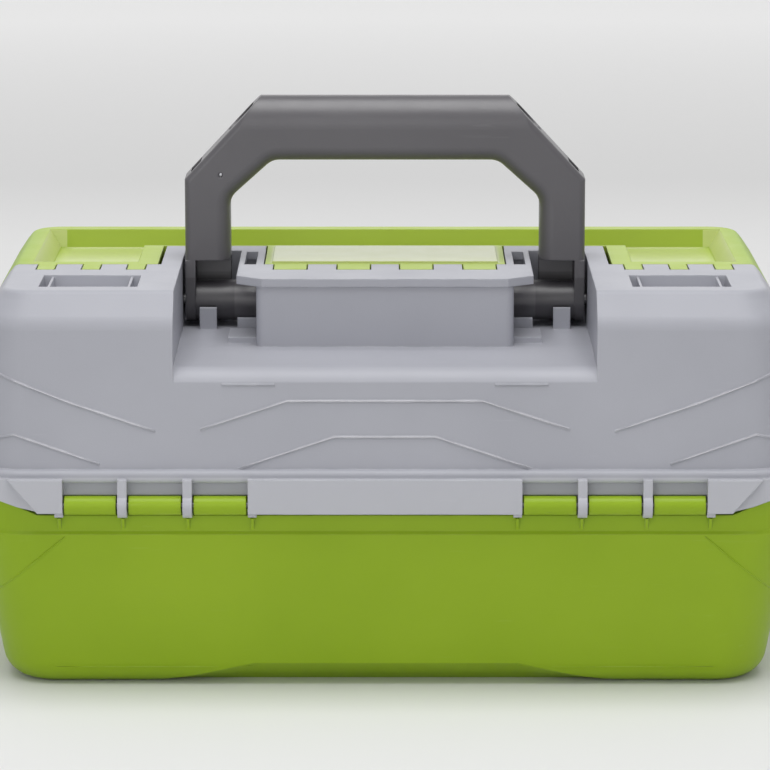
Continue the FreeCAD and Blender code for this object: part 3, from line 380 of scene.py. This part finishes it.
# %% Steel
def drawn_steel():
    """Dark drawn wire, with fine lines along X."""
    material = bpy.data.materials.new("steel")
    material.use_nodes = True
    tree = material.node_tree
    shader = tree.nodes["Principled BSDF"]
    turn = tree.nodes.new("ShaderNodeMapping")
    turn.inputs["Scale"].default_value = (0.05, 1, 1)
    wire(tree, tree.nodes.new("ShaderNodeTexCoord").outputs["Object"], turn.inputs["Vector"])
    lines = add_noise(tree, turn.outputs["Vector"], 4000.0, detail=2.0)
    tone = add_range(tree, lines, 0.3, 0.7)
    colour = mix_colour(tree, tone, linear(96, 96, 98), linear(118, 118, 120))
    wire(tree, colour, shader.inputs["Base Color"])
    wire(tree, add_range(tree, lines, 0.3, 0.7, 0.22, 0.38), shader.inputs["Roughness"])
    shader.inputs["Metallic"].default_value = 1.0
    return material


steel = drawn_steel()
print("finish", steel.name)

# %% [markdown]
# ## Dress the construction
# The record says which finish each node takes. A node keeps its mesh, and only the material in
# its slots changes.

# %% Put each finish on its nodes
finishes = {"lime_plastic": lime_plastic, "grey_plastic": grey_plastic, "dark_plastic": dark_plastic,
            "tray_plastic": tray_plastic, "clear_grey_plastic": clear_grey_plastic, "steel": steel}
for entry in frame["record"]["subparts"]:
    node = nodes[entry["node"]]
    for place in node.material_slots:
        place.material = finishes[entry["material_slot"]]
print("dressed", len(nodes), "construction nodes")

# %% [markdown]
# ## Mould lines
# Two slanted creases cross each long wall of the tub near its corners, and a fainter line runs
# above the foot. Each is a thin bead that lies half in the wall. Its points are found by
# looking at the wall from outside, so the bead follows the round corner too.


# %% From a bmesh to an object
def make_object(form, name, material):
    """A smooth object with one material; the bmesh is freed."""
    mesh = bpy.data.meshes.new(name)
    form.to_mesh(mesh)
    form.free()
    mesh.shade_smooth()
    mesh.materials.append(material)
    made = bpy.data.objects.new(name, mesh)
    bpy.context.scene.collection.objects.link(made)
    print(name, len(mesh.polygons), "faces")
    return made


# %% Beads on the walls
outside_y = 0.2
bead_end_share = 0.3


def wall_point(node, side, x, z):
    """The point of a long wall at x and z; side is -1 for the handled wall and 1 for the other."""
    hit, location, *_ = node.ray_cast(Vector((x, side * outside_y, z)), Vector((0, -side, 0)))
    if not hit:
        raise ValueError(f"no wall at {x}, {z}")
    return location


def lay_bead(form, points, radius):
    """A round bead through the points, thinner at its two ends."""
    ring = bmesh.ops.create_circle(form, segments=8, radius=radius,
                                   matrix=Matrix.Rotation(math.radians(90), 4, "Y"))["verts"]
    edges = [edge for edge in form.edges if edge.verts[0] in ring]
    bmesh.ops.scale(form, verts=ring, vec=(1, bead_end_share, bead_end_share))
    bmesh.ops.translate(form, verts=ring, vec=points[0])
    last = len(points) - 1
    for step, (before, after) in enumerate(zip(points, points[1:]), start=1):
        drawn = bmesh.ops.extrude_edge_only(form, edges=edges)["geom"]
        ring = [item for item in drawn if isinstance(item, bmesh.types.BMVert)]
        edges = [item for item in drawn
                 if isinstance(item, bmesh.types.BMEdge) and all(vert in ring for vert in item.verts)]
        bmesh.ops.translate(form, verts=ring, vec=after - before)
        if step in (1, last):
            share = 1 / bead_end_share if step == 1 else bead_end_share
            bmesh.ops.scale(form, verts=ring, vec=(1, share, share), space=Matrix.Translation(-after))


def make_bead(name, lines, radius, node, body, material):
    """One mesh of beads along the lines, lists of (side, x, z) points on a node's long walls."""
    form = bmesh.new()
    for line in lines:
        lay_bead(form, [wall_point(nodes[node], *spot) for spot in line], radius)
    bmesh.ops.holes_fill(form, edges=form.edges, sides=0)
    bmesh.ops.recalc_face_normals(form, faces=form.faces)
    piece = make_object(form, name, material)
    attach(piece, body)


crease_spots = ((157.5, 80.0), (160.0, 77.8), (168.0, 70.9), (174.0, 65.7), (180.0, 60.6),
                (185.0, 56.3), (189.0, 52.8), (192.0, 50.2))
foot_spots = (66, 70, 90, 110, 130, 150, 164)
foot_line_z = 10 * MM


def crease(side, end):
    """A slanted line from under the tub's rim towards the corner; end is -1 or 1 along X."""
    return [(side, end * x * MM, z * MM) for x, z in crease_spots]


def foot_line(side, end):
    """A level line above the foot on one outer third of a long wall."""
    return [(side, end * x * MM, foot_line_z) for x in foot_spots]


both_ways = [(side, end) for side in both_ends for end in both_ends]
make_bead("tub_crease_lines", [crease(side, end) for side, end in both_ways], 0.6 * MM,
          "tub", "base", lime_plastic)
make_bead("tub_foot_lines", [foot_line(side, end) for side, end in both_ways], 0.35 * MM,
          "tub", "base", lime_plastic)

# %% [markdown]
# ## Polished crests
# The raised lines of the lid are rubbed smooth by every bag and shelf that they touch, so their
# crests shine. A thin round bead along each crest always turns some part of itself to the lamp.
# Its plastic is also painted paler than the lid, a painted highlight, and together they draw the
# bright thread on the real box.

# %% Crests of the lid's raised lines
crest_depth = 0.004 * MM
# glossy bead plastics, painted paler than the lids as a painted highlight
polished_grey_painted_highlight = moulded_plastic(
    "polished_grey_painted_highlight", linear(196, 196, 202), linear(204, 204, 210), linear(222, 222, 228), rough=0.22,
    grain_depth=crest_depth, wear_amount=0.1, scuff_amount=0.0, specular=0.9)
polished_lime_painted_highlight = moulded_plastic(
    "polished_lime_painted_highlight", linear(166, 190, 70), linear(172, 195, 80), linear(200, 216, 130), rough=0.22,
    grain_depth=crest_depth, wear_amount=0.1, scuff_amount=0.0, specular=0.9)
crest_turns = (((-90.4, 133.5), (-47.9, 147.3), (47.9, 147.3), (90.4, 133.5)),
               ((-72.0, 114.4), (-25.0, 129.7), (25.0, 129.7), (72.0, 114.4)),
               ((112.8, 132.6), (154.2, 146.3), (190.0, 160.2)),
               ((140.1, 116.5), (182.0, 130.8), (190.0, 129.0)))


def crest_line(side, end, turns, step=9.0):
    """Points along the straight runs between the turns, close enough to follow a rounded corner."""
    spots = []
    for (x1, z1), (x2, z2) in zip(turns, turns[1:]):
        count = math.ceil((x2 - x1) / step)
        spots += [(x1 + (x2 - x1) * part / count, z1 + (z2 - z1) * part / count) for part in range(count)]
    spots.append(turns[-1])
    return [(side, end * x * MM, z * MM) for x, z in spots]


leaf_crests = ((-1, "handled_lid_leaf", "handled_leaf", polished_grey_painted_highlight, "grey_plastic"),
               (1, "plain_lid_leaf", "plain_leaf", polished_lime_painted_highlight, "lime_plastic"))
for side, node, body, material, slot in leaf_crests:
    lines = [crest_line(side, 1, turns) for turns in crest_turns]
    lines += [crest_line(side, -1, turns) for turns in crest_turns[2:]]
    make_bead(node + "_crests", lines, 0.3 * MM, node, body, material)

# %% [markdown]
# ## Gate mark
# Plastic enters a mould through a small gate. Where it is broken off, a pip stays in the middle
# of a shallow ring. The handle has one on its left shoulder, a flattened ball in glossy grey
# painted paler than the handle, a painted highlight.

# %% Pip of the gate mark
pip_radius, pip_flat_share, pip_centre = 0.75 * MM, 0.4, (-83.9 * MM, -14 * MM, 244.1 * MM)
form = bmesh.new()
bmesh.ops.create_uvsphere(form, u_segments=24, v_segments=12, radius=pip_radius)
bmesh.ops.scale(form, verts=form.verts, vec=(1, pip_flat_share, 1))
bmesh.ops.translate(form, verts=form.verts, vec=pip_centre)
# the pip's pale glossy grey is a painted highlight
pip = make_object(form, "gate_mark_pip", polished_grey_painted_highlight)
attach(pip, "handle")

# %% [markdown]
# ## Floor and backdrop
# A pale floor bends up into a backdrop, far enough away to leave room for a camera all round.
# The lamps hardly reach it there, so its paper glows a little with the distance. Only the
# camera and reflections see that glow, and none of it lights the box.


# %% Paper of the backdrop
def stage_paper():
    """Pale paper that glows a little far from the lamps, for the camera and for reflections alone."""
    material = bpy.data.materials.new("stage_paper")
    material.use_nodes = True
    tree = material.node_tree
    shader = tree.nodes["Principled BSDF"]
    shader.inputs["Base Color"].default_value = linear(226, 226, 226)
    shader.inputs["Roughness"].default_value = 0.9
    shader.inputs["Emission Color"].default_value = (1, 1, 1, 1)
    ray = tree.nodes.new("ShaderNodeLightPath").outputs
    seen = add_math(tree, "MAXIMUM", ray["Is Camera Ray"], ray["Is Glossy Ray"])
    seen = add_math(tree, "MAXIMUM", seen, ray["Is Transmission Ray"])
    reach = tree.nodes.new("ShaderNodeVectorMath")
    reach.operation = "LENGTH"
    wire(tree, tree.nodes.new("ShaderNodeTexCoord").outputs["Object"], reach.inputs[0])
    glow = add_range(tree, reach.outputs["Value"], 0.7, 3.0, 0.0, 0.4)
    wire(tree, add_math(tree, "MULTIPLY", seen, glow), shader.inputs["Emission Strength"])
    return material


# %% Floor and backdrop
def make_stage(half_width=5.0, depth=9.0, far=4.5, height=4.0, bend=1.0):
    """A floor whose far edge is drawn up into a wall, with the fold rounded by a bevel."""
    form = bmesh.new()
    bmesh.ops.create_grid(form, x_segments=1, y_segments=1, size=1.0,
                          matrix=Matrix.Diagonal((half_width, depth / 2, 1, 1)))
    bmesh.ops.translate(form, verts=form.verts, vec=(0, far - depth / 2, 0))
    fold = max(form.edges, key=lambda edge: edge.verts[0].co.y + edge.verts[1].co.y)
    drawn = bmesh.ops.extrude_edge_only(form, edges=[fold])["geom"]
    raised = [item for item in drawn if isinstance(item, bmesh.types.BMVert)]
    bmesh.ops.translate(form, verts=raised, vec=(0, 0, height))
    bmesh.ops.bevel(form, geom=[fold], offset=bend, offset_type="OFFSET", affect="EDGES", segments=12,
                    profile=0.5, material=-1)
    bmesh.ops.recalc_face_normals(form, faces=form.faces)
    make_object(form, "stage", stage_paper())


make_stage()

# %% [markdown]
# ## Light
# One large soft lamp hangs above and a little in front, as the bright tops and the softer walls
# ask for. A weak fill from the front, a strip behind and an even world open the shadows. Their
# power is set so that each plastic renders about as its colour is written.


# %% Lamps and world
def soft_lamp(name, place, aim, size, power):
    """A flat area lamp, size (width, height) in metres, pointing at aim."""
    data = bpy.data.lights.new(name, "AREA")
    data.shape = "RECTANGLE"
    data.size, data.size_y = size
    data.energy = power
    lamp = bpy.data.objects.new(name, data)
    lamp.location = place
    lamp.rotation_euler = (Vector(aim) - Vector(place)).to_track_quat("-Z", "Y").to_euler()
    bpy.context.scene.collection.objects.link(lamp)


soft_lamp("overhead", (0.0, -0.3, 1.7), (0.0, 0.0, 0.15), (1.3, 1.3), 19)
soft_lamp("front_fill", (-0.5, -2.0, 0.75), (0.0, 0.0, 0.15), (1.4, 0.8), 6)
soft_lamp("back_strip", (0.0, 1.3, 0.75), (0.0, 0.0, 0.2), (1.8, 0.6), 2.6)
world = bpy.data.worlds.new("studio")
world.use_nodes = True
world.node_tree.nodes["Background"].inputs["Color"].default_value = (1, 1, 1, 1)
world.node_tree.nodes["Background"].inputs["Strength"].default_value = 0.5
bpy.context.scene.world = world
bpy.context.scene.view_settings.view_transform = "Standard"
print("lamps", [lamp.name for lamp in bpy.data.lights])

# %% [markdown]
# ## Camera
# The camera stands in front of the handled wall, a little above the lid, and looks slightly
# down. Its lens and height were fitted to marks on the lid, the hinge row and the handle.

# %% Camera
camera_data = bpy.data.cameras.new("camera")
camera_data.sensor_width = 36.0
camera_data.lens = 183.61
camera_data.clip_end = 20.0
camera = bpy.data.objects.new("camera", camera_data)
camera.location = (0.0, -2.0, 0.5365)
camera.rotation_euler = (math.radians(90 - 11.442), 0, 0)
bpy.context.scene.collection.objects.link(camera)
bpy.context.scene.camera = camera
print("camera at", list(camera.location))
